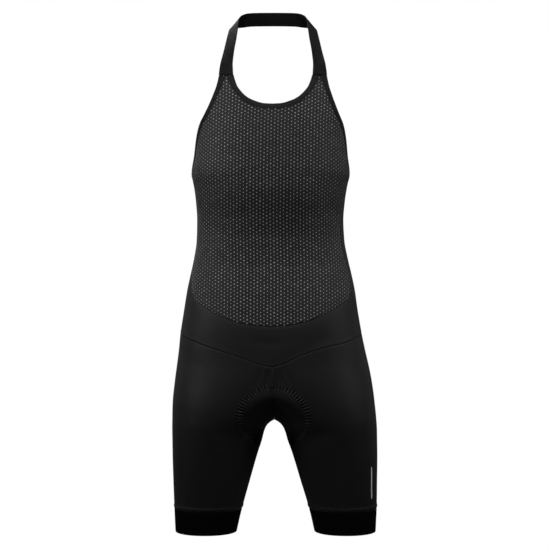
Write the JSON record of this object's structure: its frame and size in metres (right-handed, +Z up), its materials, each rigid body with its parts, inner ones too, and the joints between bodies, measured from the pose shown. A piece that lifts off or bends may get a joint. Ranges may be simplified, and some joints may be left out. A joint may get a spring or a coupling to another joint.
{
  "type": "cycling bib shorts",
  "caption": "Black halter-neck cycling bib shorts with a dotted mesh bib, a low open back and elastic leg grippers, filled out as when worn.",
  "frame": {"origin": "where the wearer's nape carries the neck strap: the middle of the strap's inner face at the back", "axes": "+X to the wearer's left hand, +Y backwards, +Z up; the front of the bib faces -Y"},
  "size_m": [0.3575, 0.232, 0.9151],
  "materials": {
    "mesh": "matt knitted mesh with rows of small pale dots",
    "jersey": "smooth knitted jersey with a soft sheen",
    "gripper": "dense matt elastic knit",
    "binding": "matt folded elastic tape",
    "elastic": "ribbed elastic webbing",
    "pad": "brushed foam-backed fleece"
  },
  "bodies": {
    "root": {"bib_front": "mesh", "front_yoke": "jersey", "back_panel": "jersey", "leg_left": "jersey", "leg_right": "jersey", "gripper_left": "gripper", "gripper_right": "gripper", "neck_binding": "binding", "edge_binding": "binding", "neck_strap": "elastic", "chamois_pad": "pad"}
  },
  "joints": []
}
